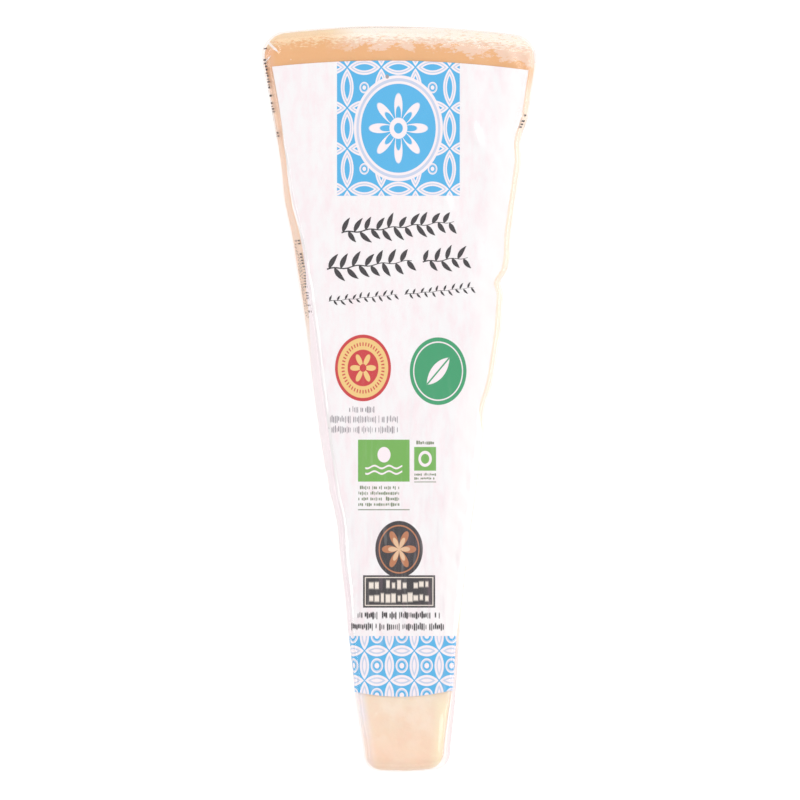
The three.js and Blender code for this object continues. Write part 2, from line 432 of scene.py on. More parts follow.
film_mesh = mesh_of_rows("film", wedge_points(no_tuck, *FILM_MESH), closed=True)
spots = np.array([(v.co.x / MM, v.co.y / MM) for v in film_mesh.vertices])
film_depth = LENGTH / 2 - spots[:, 1]
by_tip = smoothstep(film_depth, CLEAR_FROM, CLEAR_FULL)
in_gap = smoothstep(right_side(film_depth)[0] - spots[:, 0], TIP_GAP["gap"] * 1.3, CLEAR_REACH)
keep_at_points(film_mesh, clear_of_cheese=by_tip * in_gap)
relief = raise_along_normals(film_mesh, film_relief)
film = link("film", film_mesh)
print("film faces", len(film_mesh.polygons), "relief", relief.min().round(2), relief.max().round(2))

# %% [markdown]
# ## The printed panel
# The front of the film is printed white, from just below the rind nearly to the tip, and the
# white turns over the long edges in the lower half. The ink has no thickness to speak of, so it
# is a sheet that lies just under the film's outer face and follows the same wrinkles. Its UV map
# is the flat film before it was wrapped, in millimetres scaled to the unit square, so that the
# print can be laid out with a ruler.

# %% Panel
PANEL_TOP = 7.6
PANEL_END = 146.9
PANEL_END_BOW = 1.1
LEFT_WRAP = dict(first=1.2, from_top=14, by=38, start=54, full=82, over=24)
RIGHT_WRAP = dict(start=80, full=98, hold=118, end=134, over=2.6, left=0.9)
INK_UNDER = 0.05
LEAST_WRAP = 0.02
WRAP_CROWD = 1.6
PRINT_WIDTH = 62
PRINT_HEIGHT = 142
PRINT_LOW = -67
FLAT_COLUMNS, WRAP_COLUMNS, PANEL_ROWS = 96, 16, 300


def left_wrap(depth):
    first = LEFT_WRAP["first"] * smoothstep(depth, LEFT_WRAP["from_top"], LEFT_WRAP["by"])
    return first + LEFT_WRAP["over"] * smoothstep(depth, LEFT_WRAP["start"], LEFT_WRAP["full"])


def right_wrap(depth):
    grown = RIGHT_WRAP["over"] * smoothstep(depth, RIGHT_WRAP["start"], RIGHT_WRAP["full"])
    shrunk = smoothstep(depth, RIGHT_WRAP["hold"], RIGHT_WRAP["end"])
    return grown + (RIGHT_WRAP["left"] - grown) * shrunk


def over_edge(side, x, lean, edge, past):
    """[x, z, flat x] of points a distance past the front's edge and on round it."""
    centre_x = x - side * (lean + edge)
    angle = np.minimum(past / edge, QUARTER)
    down = np.maximum(past - edge * QUARTER, 0)
    lean_out = lean * down / (THICKNESS - edge - BACK_EDGE)
    around_x = centre_x + side * (edge * np.sin(angle) + lean_out)
    around_z = THICKNESS - edge + edge * np.cos(angle) - down
    return np.column_stack([around_x, around_z, centre_x + side * past])

# %% The sheet and its flat print
def panel_row(share):
    depth = PANEL_TOP + (PANEL_END - PANEL_END_BOW - PANEL_TOP) * share
    left_x, left_lean = left_side(depth)
    right_x, right_lean = right_side(depth)
    shares = (1 - np.arange(WRAP_COLUMNS) / WRAP_COLUMNS) ** WRAP_CROWD
    left = over_edge(-1, left_x, left_lean, LEFT_EDGE, max(left_wrap(depth), LEAST_WRAP) * shares)
    right = over_edge(1, right_x, right_lean, RIGHT_EDGE, max(right_wrap(depth), LEAST_WRAP) * shares)
    start, end = left_x + left_lean + LEFT_EDGE, right_x - right_lean - RIGHT_EDGE
    flat = start + (end - start) * crowded(FLAT_COLUMNS, CROWD)
    front = np.column_stack([flat, np.full(len(flat), THICKNESS), flat])
    points = np.vstack([left, front, right[::-1]])[::-1]
    x, z, flat_x = points.T
    across_tip = np.clip(x / half_width(PANEL_END), -1, 1)
    true_depth = depth + PANEL_END_BOW * (1 - across_tip ** 2) * share
    margins = np.column_stack([start - flat_x, end - flat_x])
    return np.column_stack([x, y_at(true_depth, x), z, true_depth]), flat_x, margins


rows = [panel_row(row / PANEL_ROWS) for row in range(PANEL_ROWS + 1)]
panel_mesh = mesh_of_rows("printed_film", [row for row, _, _ in rows], closed=False)
flat_place = np.vstack([np.column_stack([flat_x, row[:, 1]]) for row, flat_x, _ in rows])
margins = np.vstack([margin for _, _, margin in rows])
keep_at_points(panel_mesh, past_left_edge=margins[:, 0], from_right_edge=margins[:, 1])
panel_uv = panel_mesh.uv_layers.new(name="OFBake")
corners = np.empty(len(panel_mesh.loops), dtype=np.int32)
panel_mesh.loops.foreach_get("vertex_index", corners)
unit_place = (flat_place - (0, PRINT_LOW)) / (PRINT_WIDTH, PRINT_HEIGHT) + (0.5, 0)
panel_uv.data.foreach_set("uv", unit_place[corners].ravel())
raise_along_normals(panel_mesh, lambda point, normal: film_relief(point, normal) - INK_UNDER)
panel = link("printed_film", panel_mesh)
print("panel faces", len(panel_mesh.polygons), "uv", unit_place.min(0).round(2), unit_place.max(0).round(2))

# %% [markdown]
# ## Nodes and colours
# One small function adds a node with its settings and links. Colours are written as the sRGB hex
# values that a picker shows, and one function turns them to the linear values that shaders need.
# Most of what follows is paint: coats of colour, each laid as far as its share says. A share is
# a product of factors, and a factor is most often a smooth step, so both have a short way of
# being written.

# %% Node and colour helpers
def add(tree, kind, *values, **settings):
    """Adds a shader node of a kind.

    values are its inputs in order, or one dict of them by name or number. Each is a constant, an
    output, or a node whose first output in use is meant. settings are the node's own options.
    """
    node = tree.nodes.new("ShaderNode" + kind)
    for key, value in settings.items():
        setattr(node, key, value)
    inputs = values[0] if values and isinstance(values[0], dict) else dict(enumerate(values))
    for key, value in inputs.items():
        if isinstance(value, bpy.types.Node):
            value = next(output for output in value.outputs if output.enabled)
        if isinstance(value, bpy.types.NodeSocket):
            tree.links.new(value, node.inputs[key])
        else:
            node.inputs[key].default_value = value
    return node


def linear(hex_colour):
    channels = [int(hex_colour[i:i + 2], 16) / 255 for i in (1, 3, 5)]
    return [c / 12.92 if c <= 0.04045 else ((c + 0.055) / 1.055) ** 2.4 for c in channels] + [1]

# %% Coats of colour
def share_of(tree, *factors):
    """The product of factors. A factor is a node, an output, or a smooth step as a tuple.

    (value, start, end) goes from 0 to 1 while the value goes from start to end, and
    (value, start, end, first, last) goes from first to last.
    """
    product = None
    for factor in factors:
        if isinstance(factor, tuple):
            factor = add(tree, "MapRange", *factor, interpolation_type="SMOOTHSTEP")
        if product is not None:
            factor = add(tree, "Math", product, factor, operation="MULTIPLY")
        product = factor
    return product


def coats(tree, colour, *layers):
    """Lays coats over a colour, each written as (colour, factor, ...) with its share's factors."""
    for over, *factors in layers:
        over = linear(over) if isinstance(over, str) else over
        mix = {0: share_of(tree, *factors), 6: colour, 7: over}
        colour = add(tree, "Mix", mix, data_type="RGBA")
    return colour


def sum_of(tree, *parts):
    """The sum of values that are each written as (value, weight)."""
    total = 0.0
    for value, weight in parts:
        total = add(tree, "Math", value, weight, total, operation="MULTIPLY_ADD")
    return total

# %% Patterns and materials
def noises(tree, place, *sorts):
    """Cloudy noises from 0 to 1, for sorts written as (lump size, stretch, detail, roughness)."""
    made = []
    for size, stretch, detail, roughness in sorts:
        shrunk = add(tree, "VectorMath", place, tuple(1 / s for s in stretch), operation="MULTIPLY")
        settings = {"Vector": shrunk, "Scale": 1 / size, "Detail": detail, "Roughness": roughness}
        made.append(add(tree, "TexNoise", settings))
    return made


def point_values(tree, *names):
    """The values that a mesh keeps at its points under some names."""
    return [add(tree, "Attribute", attribute_name=name).outputs["Fac"] for name in names]


def material_of(name, surface):
    """A material that is named for the real one. surface(tree) builds its shader."""
    material = bpy.data.materials.new(name)
    material.use_nodes = True
    material.node_tree.nodes.clear()
    add(material.node_tree, "OutputMaterial", surface(material.node_tree))
    print(name, "has", len(material.node_tree.nodes), "nodes")
    return material


# %% [markdown]
# ## Laying out a print
# A shrink film is printed flat on a flexographic press, one plain ink after another, and then
# drawn round the food, which narrows everything on it by about a sixth. So each mark below is
# drawn as the press drew it: a shape with a size in millimetres, covered by one ink, its edge
# soft by the spread of the ink. A round mark ends up taller than it is wide. The marks are
# drawn by nodes and not by a picture, so they stay sharp at any distance.

# %% Print helpers
PRINT_SHRINK = 0.84
INK_SPREAD = 0.06
# The same spread as a share of a round's radius
ROUND_SPREAD = 0.01
BIG_ROUND_SPREAD = 0.006
PETAL_SPREAD = 0.02


def print_place(tree):
    """The place on the flat print in millimetres, read back from the panel's UV map."""
    uv = add(tree, "UVMap", uv_map="OFBake")
    from_corner = add(tree, "VectorMath", uv, (0.5, 0, 0), operation="SUBTRACT")
    size, low = (PRINT_WIDTH, PRINT_HEIGHT, 0), (0, PRINT_LOW, 0)
    return add(tree, "VectorMath", from_corner, size, low, operation="MULTIPLY_ADD")


def inside(distance, edge, spread=INK_SPREAD):
    """The factor that is 1 where a distance is under an edge, with the ink's soft edge."""
    return distance, edge + spread, edge - spread


def outside(distance, edge, spread=INK_SPREAD):
    return distance, edge - spread, edge + spread

# %% Ovals, boxes and petals
def oval(tree, place, centre, radius):
    """A place as seen from an oval's middle, and how far out it is. The oval's edge is at 1."""
    from_middle = add(tree, "VectorMath", place, (*centre, 0), operation="SUBTRACT")
    stretch = (1 / (radius * PRINT_SHRINK), 1 / radius, 0)
    seen = add(tree, "VectorMath", from_middle, stretch, operation="MULTIPLY")
    return seen, add(tree, "VectorMath", seen, operation="LENGTH")


def past_box(tree, place, middle, half):
    """How far outside a box a place is, and less than 0 inside it."""
    from_middle = add(tree, "VectorMath", place, middle, operation="SUBTRACT")
    folded = add(tree, "VectorMath", from_middle, operation="ABSOLUTE")
    x, y, _ = add(tree, "SeparateXYZ", add(tree, "VectorMath", folded, half, operation="SUBTRACT")).outputs
    return add(tree, "Math", x, y, operation="MAXIMUM")


def past_field(tree, place, low, high):
    """The same for a box that is given by its low and high corners."""
    middle = tuple((l + h) / 2 for l, h in zip(low, high))
    half = tuple((h - l) / 2 for l, h in zip(low, high))
    return past_box(tree, place, (*middle, 0), (*half, 0))


def turn_round(tree, seen):
    """The angle of a place round an oval's middle."""
    x, y, _ = add(tree, "SeparateXYZ", seen).outputs
    return add(tree, "Math", y, x, operation="ARCTAN2")


def petals(tree, seen, far, count, reach):
    """The factor that covers a rosette of petals, each as long as the reach."""
    swing = add(tree, "Math", turn_round(tree, seen), count / 2, operation="MULTIPLY")
    wave = add(tree, "Math", swing, operation="COSINE")
    lobe = add(tree, "Math", wave, operation="ABSOLUTE")
    tip = add(tree, "Math", lobe, reach, operation="MULTIPLY")
    return inside(add(tree, "Math", far, tip, operation="SUBTRACT"), 0, PETAL_SPREAD)


# %% [markdown]
# ## Small print
# Small print is too fine to read on a shelf. What the eye takes in is rows of short dark marks of
# uneven width with gaps between them, and that is all that is drawn here: plain bars.

# %% Rows of bars
GAPS = 0.13
# Half width, half height and middle height of a bar in its cell, each drawn between two limits
BAR_HALF_WIDTH = (0.13, 0.32)
BAR_HALF_HEIGHT = (0.2, 0.34)
BAR_MIDDLE = (0.46, 0.56)
BAR_SPREAD = 0.1


def small_print(tree, place, low, high, rows, bars, seed, weight):
    """Rows of broken bars that fill a box, as small print does when it is too far off to read."""
    counts = (bars / (high[0] - low[0]), rows / (high[1] - low[1]), 0)
    from_corner = add(tree, "VectorMath", place, (*low, 0), operation="SUBTRACT")
    grid = add(tree, "VectorMath", from_corner, counts, operation="MULTIPLY")
    cell = add(tree, "VectorMath", grid, operation="FLOOR")
    in_cell = add(tree, "VectorMath", grid, operation="FRACTION")
    draw = add(tree, "TexWhiteNoise", {"Vector": cell, "W": seed}, noise_dimensions="4D").outputs
    written = add(tree, "Math", draw["Value"], GAPS, operation="GREATER_THAN")
    wide, high_share, lift = add(tree, "SeparateXYZ", draw["Color"]).outputs
    half_width = share_of(tree, (wide, 0, 1, *(weight * limit for limit in BAR_HALF_WIDTH)))
    half_height = share_of(tree, (high_share, 0.3, 1, *BAR_HALF_HEIGHT))
    half = add(tree, "CombineXYZ", half_width, half_height)
    middle = add(tree, "CombineXYZ", 0.5, share_of(tree, (lift, 0.6, 1, *BAR_MIDDLE)))
    past_bar = past_box(tree, in_cell, middle, half)
    past_all = past_field(tree, place, low, high)
    return share_of(tree, inside(past_bar, 0, BAR_SPREAD), written, inside(past_all, 0))


# %% [markdown]
# ## The tile pattern
# The sky blue fields carry a pattern that tile makers have used for centuries: circles on a
# square grid, each large enough to cross its neighbours, so that every crossing makes a petal.
# Folding the plane at each grid line leaves one quarter of a tile to draw.

# %% Tile pattern
SKY_BLUE = "#46b3e9"
PALE_INK = "#f7eef4"
LILAC = "#c6d3ec"
CROSSING_RADIUS = math.sqrt(0.5) - 0.02
# Each ink with how far in from a petal's edge it starts, or with the radius of its round
PETAL_INKS = ((PALE_INK, 0.0), (LILAC, 0.062), (PALE_INK, 0.105), (SKY_BLUE, 0.155))
ROUND_INKS = ((PALE_INK, 0.2), (LILAC, 0.165), (SKY_BLUE, 0.13), (PALE_INK, 0.075))


def tiles(tree, place, pitch, middle, line):
    """The colour of the crossing circles at a place. line widens or narrows the pale lines."""
    from_middle = add(tree, "VectorMath", place, (*middle, 0), operation="SUBTRACT")
    per_tile = (1 / (pitch * PRINT_SHRINK), 1 / pitch, 0)
    grid = add(tree, "VectorMath", from_middle, per_tile, operation="MULTIPLY")
    x, y, _ = add(tree, "SeparateXYZ", grid).outputs
    x, y = [add(tree, "Math", part, 0.5, operation="PINGPONG") for part in (x, y)]
    far_x, far_y = [add(tree, "Math", 1.0, part, operation="SUBTRACT") for part in (x, y)]
    to_middle, to_side, to_top = [
        add(tree, "VectorMath", add(tree, "CombineXYZ", *corner), operation="LENGTH")
        for corner in ((x, y), (far_x, y), (x, far_y))
    ]
    petal = add(tree, "Math", to_side, to_top, operation="MINIMUM")
    spread = INK_SPREAD / pitch
    lines = [(ink, inside(petal, CROSSING_RADIUS - inward * line, spread)) for ink, inward in PETAL_INKS]
    lines += [(ink, inside(to_middle, radius * line, spread)) for ink, radius in ROUND_INKS]
    return coats(tree, linear(SKY_BLUE), *lines)


# %% [markdown]
# ## The whole print
# The press lays its inks from the largest field to the smallest mark. Every place is in
# millimetres from the middle of the pack, to the right and towards the rind. Each function gives
# the coats of one mark, in the order in which they are laid.

# %% Inks
CHARCOAL = "#262128"
LEAF_GREEN = "#6eb14c"
OLIVE_INK = "#62784f"
DEEP_GREEN = "#259c68"
WARM_YELLOW = "#eeca80"
SEAL_RED = "#c9222b"
TAN = "#b9764c"
PALE_TAN = "#e3bd97"
CREAM = "#efe6dc"
GREY_INK = "#76717c"
BARE_GREY = "#9d99a0"

# %% Fields of tiles
def rind_field(tree, place):
    """The sky blue field under the rind, with a rosette in a plain round and one bare nick."""
    middle = (-0.35, 59.3)
    seen, far = oval(tree, place, middle, 11.6)
    _, from_nick = oval(tree, place, (-2.8, 70.6), 0.45)
    rings = ((PALE_INK, 1.0), (LILAC, 0.945), (PALE_INK, 0.89), (SKY_BLUE, 0.84))
    eye = ((PALE_INK, 0.2), (SKY_BLUE, 0.1))
    rosette = [(PALE_INK, petals(tree, seen, far, 8, 0.66)), (SKY_BLUE, petals(tree, seen, far, 8, 0.42))]
    return [
        (tiles(tree, place, 8.9, middle, 0.7), inside(past_field(tree, place, (-13.8, 44.5), (13.1, 80)), 0)),
        *((ink, inside(far, edge, BIG_ROUND_SPREAD)) for ink, edge in rings),
        *rosette,
        *((ink, inside(far, edge, BIG_ROUND_SPREAD)) for ink, edge in eye),
        (BARE_GREY, inside(from_nick, 1.0, 0.3)),
    ]


def tip_band(tree, place):
    """The band of tiles that runs right round the pack above the tip."""
    _, height, _ = add(tree, "SeparateXYZ", place).outputs
    return [(tiles(tree, place, 6.5, (0.4, -58.4), 1.25), inside(height, -51.9))]


# %% Round seals
def yellow_seal(tree, place):
    """A round seal: red rim, yellow ring with 44 ticks, and a yellow rosette on a red middle."""
    seen, far = oval(tree, place, (-8.1, 6.8), 7.3)
    ticks = add(tree, "Math", turn_round(tree, seen), 44 / math.tau, operation="MULTIPLY")
    from_tick = add(tree, "Math", ticks, 0.5, operation="PINGPONG")
    ring = inside(far, 0.77, ROUND_SPREAD), outside(far, 0.66, ROUND_SPREAD)
    rounds = ((SEAL_RED, 1.0), (WARM_YELLOW, 0.9), (SEAL_RED, 0.55))
    return [
        *((ink, inside(far, edge, ROUND_SPREAD)) for ink, edge in rounds),
        (SEAL_RED, *ring, inside(from_tick, 0.2, 0.12)),
        (WARM_YELLOW, petals(tree, seen, far, 6, 0.46)),
        (SEAL_RED, inside(far, 0.12, ROUND_SPREAD)),
    ]


def green_round(tree, place):
    """A green round with one white leaf, made where two circles cross, and its vein."""
    seen, far = oval(tree, place, (8.35, 6.1), 7.4)
    leaf = []
    for middle in ((0.42, -0.42, 0), (-0.42, 0.42, 0)):
        from_middle = add(tree, "VectorMath", seen, middle, operation="SUBTRACT")
        away = add(tree, "VectorMath", from_middle, operation="LENGTH")
        leaf.append(inside(away, 0.82, ROUND_SPREAD))
    x, y, _ = add(tree, "SeparateXYZ", seen).outputs
    across = add(tree, "Math", y, x, operation="SUBTRACT")
    from_vein = add(tree, "Math", across, operation="ABSOLUTE")
    return [
        (DEEP_GREEN, inside(far, 1.0, ROUND_SPREAD)),
        (PALE_INK, inside(far, 0.88, ROUND_SPREAD), outside(far, 0.84, ROUND_SPREAD)),
        (PALE_INK, *leaf),
        (DEEP_GREEN, *leaf, inside(from_vein, 0.035, 0.015)),
    ]


# %% Green and dark marks
WAVE_LENGTH = 3.2
WAVE_HEIGHT = 0.3
WAVE_HALF_LINE = 0.2


def green_marks(tree, place):
    """A green field with a sun over two waves, a small boxed ring beside it, and two rules."""
    _, from_sun = oval(tree, place, (-3.5, -12.2), 1.7)
    _, from_ring = oval(tree, place, (5.5, -13.1), 1.75)
    x, y, _ = add(tree, "SeparateXYZ", place).outputs
    swing = add(tree, "Math", x, math.tau / WAVE_LENGTH, operation="MULTIPLY")
    wave = add(tree, "Math", swing, operation="SINE")
    waves = []
    for level in (-14.9, -16.1):
        line = add(tree, "Math", wave, WAVE_HEIGHT, level, operation="MULTIPLY_ADD")
        over_line = add(tree, "Math", y, line, operation="SUBTRACT")
        waves.append(add(tree, "Math", over_line, operation="ABSOLUTE"))
    boxes = [((-9.2, -18.1), (2.1, -8.9)), ((3.1, -15.7), (7.9, -10.5)), ((-7.6, -18.1), (0.5, -8.9))]
    field, small_box, clear_of_edge = [inside(past_field(tree, place, *box), 0) for box in boxes]
    rules = [((-9.2, -24.35), (2.1, -24.15)), ((3.1, -18.25), (7.9, -18.08))]
    return [
        (LEAF_GREEN, field),
        (PALE_INK, inside(from_sun, 1.0, 0.03)),
        *((PALE_INK, inside(from_line, WAVE_HALF_LINE), clear_of_edge) for from_line in waves),
        (LEAF_GREEN, small_box),
        (PALE_INK, inside(from_ring, 1.0, 0.04), outside(from_ring, 0.62, 0.04)),
        *((OLIVE_INK, inside(past_field(tree, place, *rule), 0, 0.04)) for rule in rules),
    ]


def dark_marks(tree, place):
    """A dark round with a tan rosette over a dark plate that has a thin cream rim."""
    seen, far = oval(tree, place, (-0.2, -32.9), 6.2)
    past_plate = past_field(tree, place, (-8.1, -45.7), (7.7, -38.6))
    return [
        (CHARCOAL, inside(far, 1.0, ROUND_SPREAD)),
        (TAN, inside(far, 0.86, ROUND_SPREAD), outside(far, 0.81, ROUND_SPREAD)),
        (TAN, petals(tree, seen, far, 6, 0.72)),
        (PALE_TAN, petals(tree, seen, far, 6, 0.46)),
        (CHARCOAL, inside(past_plate, 0)),
        (CREAM, inside(past_plate, -0.4), outside(past_plate, -0.6)),
    ]


# %% Lines of small print
# Ink, low corner, high corner, rows, bars in a row, seed and weight of each block
SMALL_PRINT = [
    (OLIVE_INK, (3.1, -10.2), (7.9, -9.0), 1, 11, 1, 1.3),
    (OLIVE_INK, (3.1, -17.8), (7.9, -16.1), 2, 14, 2, 1.3),
    (OLIVE_INK, (-9.2, -23.7), (-0.1, -18.8), 4, 24, 3, 1.3),
    (CREAM, (-6.9, -45.0), (6.5, -39.3), 2, 11, 4, 1.35),
    (GREY_INK, (-11.2, -3.3), (-5.2, -1.3), 1, 17, 5, 0.95),
    (GREY_INK, (-15.8, -7.8), (-0.4, -3.3), 2, 42, 6, 0.95),
    (CHARCOAL, (-9.4, -48.5), (8.8, -46.2), 1, 44, 7, 1.6),
    (CHARCOAL, (-10.9, -51.0), (10.1, -48.7), 1, 50, 8, 1.6),
]


def small_lines(tree, place):
    return [(ink, small_print(tree, place, *block)) for ink, *block in SMALL_PRINT]


# %% [markdown]
# ## Printed film
# The inks are thin and matt, and the white under them lets a little of the warm cheese through,
# so it is a pinkish white that changes slightly from place to place, partly that tint and partly
# painted shade of the film's uneven surface. It is drawn out lengthwise, as the film was when it
# shrank. Where the white turns over the left edge it carries painted shade, and towards the right
# edge a painted highlight. Lower down, the light and dark of the film's creases are painted over
# the inks as painted highlight and painted shade.

# %% Printed film finish
PAPER_WHITE = "#f4f5f8"
# A white for painted highlights
PAINTED_HIGHLIGHT_WHITE = "#fdfcfd"
# A pink for the white's tint and for painted shade
BLUSH_AND_PAINTED_SHADE = "#f5e8ee"
CREASE_SHADE = "#b98fa8"
# Heights on the print between which the painted crease shade and highlights set in
CREASES_FROM, CREASES_FULL = 25, -45


def printed_surface(tree):
    place = print_place(tree)
    _, height, _ = add(tree, "SeparateXYZ", place).outputs
    past_left, from_right = point_values(tree, "past_left_edge", "from_right_edge")
    cloud, streak, crease = noises(
        tree, place,
        (2.4, (1, 2.632, 1), 5.0, 0.65), (1.3, (1, 7.143, 1), 3.0, 0.55), (1.7, (1, 7.143, 1), 2.0, 0.55),
    )
    painted_crease_streaks = (streak, 0.5, 0.8)
    marks = (rind_field, tip_band, yellow_seal, green_round, green_marks, dark_marks, small_lines)
    colour = coats(
        tree, linear(PAPER_WHITE),
        # partly the cheese's tint through the white, partly painted shade of the film's uneven surface
        (BLUSH_AND_PAINTED_SHADE, (cloud, 0.36, 0.72, 0.0, 0.8)),
        # painted shade of the film's lower creases
        (BLUSH_AND_PAINTED_SHADE, painted_crease_streaks, (height, CREASES_FROM, CREASES_FULL, 0.25, 0.75)),
        # painted highlight towards the right edge
        (PAINTED_HIGHLIGHT_WHITE, (from_right, 6.5, 1.0, 0.0, 0.7)),
        # painted shade where the print turns over the left edge
        (BLUSH_AND_PAINTED_SHADE, (past_left, 0.3, 1.4, 0.0, 0.7)),
        *(coat for mark in marks for coat in mark(tree, place)),
        # painted highlight on the lower creases
        (PAINTED_HIGHLIGHT_WHITE, painted_crease_streaks, (height, CREASES_FROM, CREASES_FULL, 0.0, 0.16)),
        # painted shade in the lower creases
        (CREASE_SHADE, (crease, 0.5, 0.78, 0.0, 0.14), (height, CREASES_FROM, CREASES_FULL)),
    )
    return add(tree, "BsdfPrincipled", {"Base Color": colour, "Roughness": 0.5})


panel.data.materials.append(material_of("flexo_inks_on_polyethylene", printed_surface))

# %% [markdown]
# ## Brush sprigs
# The front has three large lines of brush work. Here they are climbing sprigs: a thin stem that
# rises to the right, with narrow leaves above and below it. Each stroke is a ribbon of ink laid
# on the printed film just above its white, and a leaf is a stroke that swells and runs out.

# %% Brush sprigs
STEM_HALF, STEM_SWAY, STEM_THINS = 0.045, 0.06, 0.6
LEAF_HALF, LEAF_TIP_HALF, LEAF_BEND = 0.148, 0.012, 0.12
STEM_POINTS, LEAF_POINTS = 80, 14
SPRIG_UNDER = INK_UNDER * 0.45
# Start, length, rise, leaf length and count of leaves of each sprig
SPRIGS = [
    ((-12.8, 36.4), 24.6, 0.1, 3.3, 20),
    ((-16.0, 28.4), 18.6, 0.1, 3.5, 14),
    ((5.0, 30.0), 9.8, 0.1, 3.1, 8),
    ((-15.6, 21.4), 15.0, 0.1, 1.4, 18),
    ((1.0, 22.9), 15.2, 0.1, 1.4, 18),
]


def brush_stroke(path, half):
    """Rows of [x, y, z, depth] for the ribbon a brush leaves along a path, half as wide as given."""
    along = np.gradient(path, axis=0)
    along /= np.linalg.norm(along, axis=1)[:, None]
    across = np.column_stack([-along[:, 1], along[:, 0]]) * half[:, None]
    return [
        np.array([[x, y, THICKNESS, LENGTH / 2 - y] for x, y in points])
        for points in zip(path + across, path, path - across)
    ]


def sprig(start, length, rise, leaf, leaves, draw):
    """The strokes of a sprig: a stem, and leaves that take turns above and below it."""
    t = np.linspace(0, 1, STEM_POINTS)[:, None]
    sway = STEM_SWAY * leaf * np.sin(t * leaves * math.pi / 2)
    stem = np.hstack([start[0] + length * t, start[1] + rise * length * t + sway])
    strokes = [brush_stroke(stem, STEM_HALF * leaf * (1 - STEM_THINS * t[:, 0]))]
    for i in range(leaves):
        foot = stem[round((STEM_POINTS - 1) * (i + 0.3) / leaves)]
        side = 1 if i % 2 == 0 else -1
        turn = math.atan(rise) + side * math.radians(draw.uniform(48, 66))
        reach = leaf * draw.uniform(0.8, 1.1)
        tip = foot + reach * np.array([math.cos(turn), math.sin(turn)])
        bend = (foot + tip) / 2 + LEAF_BEND * reach * side * np.array([-math.sin(turn), math.cos(turn)])
        s = np.linspace(0, 1, LEAF_POINTS)[:, None]
        path = foot * (1 - s) ** 2 + 2 * bend * s * (1 - s) + tip * s ** 2
        half = LEAF_TIP_HALF + LEAF_HALF * np.sin(np.pi * s[:, 0] ** 0.8)
        strokes.append(brush_stroke(path, leaf * half))
    return strokes

# %% Strips of ink
def inked_strips(name, strips, ink, height_at):
    """A piece made of many strips of ink, raised to the film's relief by height_at."""
    points, faces = [], []
    for rows in strips:
        faces += grid_faces(len(rows), len(rows[0]), closed=False, first=len(points))
        points += [(p[:3] * MM).tolist() for row in rows for p in row]
    mesh = bpy.data.meshes.new(name)
    mesh.from_pydata(points, [], faces)
    mesh.update()
    raise_along_normals(mesh, height_at)
    mesh.materials.append(ink)
    return link(name, mesh)


def plain_ink(colour, roughness):
    return lambda tree: add(tree, "BsdfPrincipled", {"Base Color": linear(colour), "Roughness": roughness})


def on_print(point, _):
    return film_relief(point, (0, 0, 1)) - SPRIG_UNDER


brush_draw = np.random.default_rng(7)
brush_ink = material_of("black_flexo_ink", plain_ink(CHARCOAL, 0.5))
sprigs = [
    inked_strips(f"brush_sprig_{i + 1}", sprig(*shape, brush_draw), brush_ink, on_print)
    for i, shape in enumerate(SPRIGS)
]
print("sprig faces:", [len(piece.data.polygons) for piece in sprigs])

# %% [markdown]
# ## Small print on the sides
# The back's small print runs on over the pack's sides. It is the same plain bars as before, but
# here each bar is a small quad laid on the film, at a depth along the pack and a distance down
# from the front edge. From the front only the ends of the rows show, as dark specks.

# %% Side print
SIDE_PRINT_UNDER = INK_UNDER * 0.3
LINE_PITCH = 2.6
BAR_LENGTH, BAR_GAP, WORD_GAP = (0.22, 0.45), 0.35, (1.2, 3.0)
BARS_LEFT_OUT = WORD_ENDS = 0.12
# Name, side, start and end as (depth, distance past the edge), lines and least and most height
SIDE_PRINT = [
    ("left_small_print_by_rind", -1, (3.4, 1.7), (24, 2.3), 8, (0.9, 1.6)),
    ("left_heading_bars", -1, (47, 3.0), (64, 2.8), 1, (2.6, 3.4)),
    ("left_small_print", -1, (47, 8.4), (64, 8.0), 5, (0.9, 1.4)),
    ("right_small_print", 1, (18.2, 0.9), (21.5, 0.6), 6, (0.5, 0.9)),
]

# %% Bars on a side
def side_bar(side, depth, past, along, down):
    """One bar on a side, as two rows of [x, y, z, depth] that face out."""
    rows = []
    for d in (depth - side * along / 2, depth + side * along / 2):
        x, lean = left_side(d) if side < 0 else right_side(d)
        edge = LEFT_EDGE if side < 0 else RIGHT_EDGE
        past_edge = np.array([past - down / 2, past, past + down / 2])
        around = over_edge(side, x, lean, edge, past_edge)
        rows.append(np.column_stack([around[:, 0], y_at(d, around[:, 0]), around[:, 1], np.full(3, d)]))
    return rows


def side_bars(side, start, end, lines, tall, draw):
    """Bars in lines along a side, from a start to an end given as (depth, past)."""
    bars = []
    for line in range(lines):
        depth = start[0]
        while depth < end[0]:
            along = draw.uniform(*BAR_LENGTH)
            share = (depth - start[0]) / (end[0] - start[0])
            past = start[1] + (end[1] - start[1]) * share + line * LINE_PITCH
            if draw.random() > BARS_LEFT_OUT:
                bars.append(side_bar(side, depth, past, along, draw.uniform(*tall)))
            depth += along + (draw.uniform(*WORD_GAP) if draw.random() < WORD_ENDS else BAR_GAP)
    return bars


def under_film(point, normal):
    return film_relief(point, normal) - SIDE_PRINT_UNDER


side_draw = np.random.default_rng(11)
side_ink = material_of("brown_black_flexo_ink", plain_ink("#38282a", 0.6))
side_prints = [
    inked_strips(name, side_bars(*block, side_draw), side_ink, under_film)
    for name, *block in SIDE_PRINT
]
print("side print faces:", [len(piece.data.polygons) for piece in side_prints])

